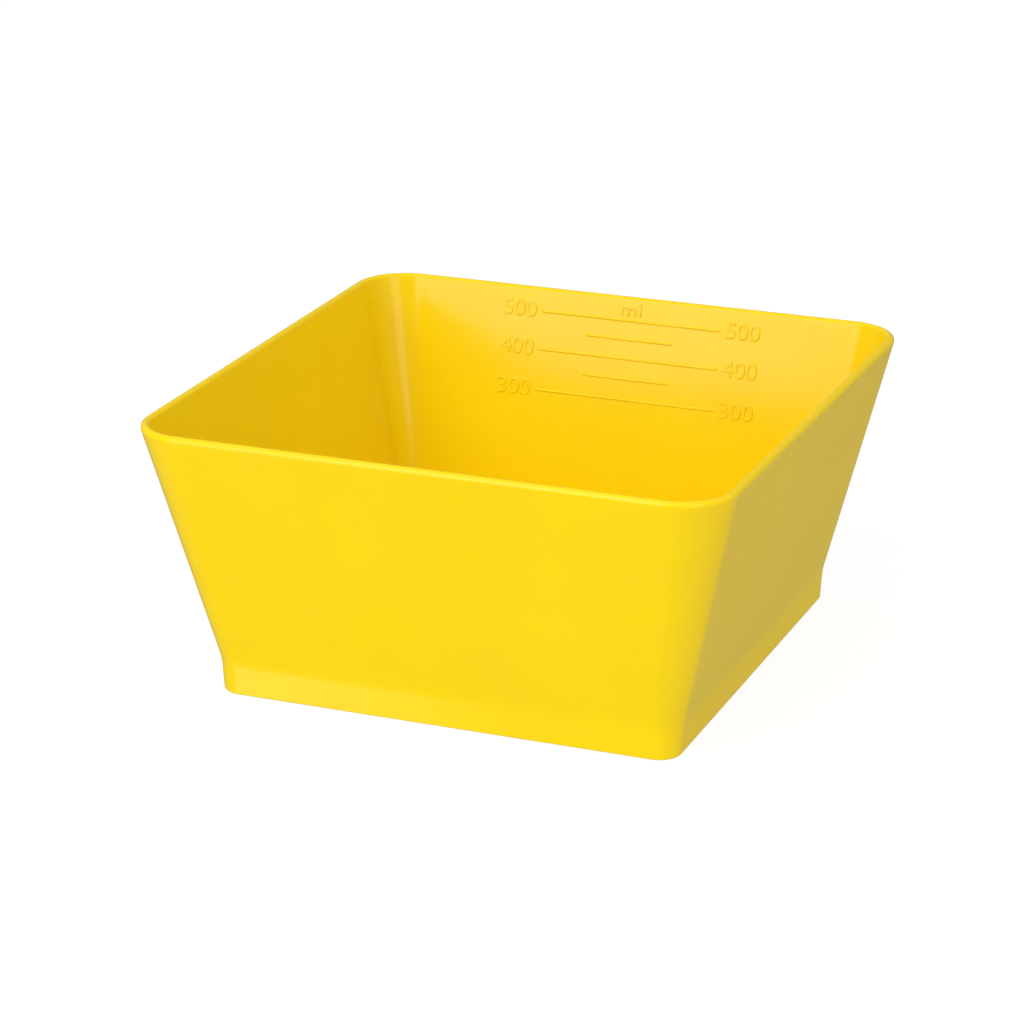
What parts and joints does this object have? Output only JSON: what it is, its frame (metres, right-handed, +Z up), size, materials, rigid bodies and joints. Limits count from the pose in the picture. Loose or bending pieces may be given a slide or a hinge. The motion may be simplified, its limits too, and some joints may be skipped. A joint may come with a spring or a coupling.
{
  "type": "mortar mixing tub",
  "caption": "Small square open tub with flared walls, rounded corners and a shallow foot band, with raised volume marks inside, for mixing mortar or filler.",
  "frame": {"origin": "centre of the base, on the surface that the tub stands on", "axes": "+Z up out of the open top, -Y to the front, and the volume marks inside the +Y wall"},
  "size_m": [0.12, 0.12, 0.0565],
  "materials": {
    "yellow_plastic": "gloss"
  },
  "bodies": {
    "root": {"tub_shell": "yellow_plastic"}
  },
  "joints": []
}
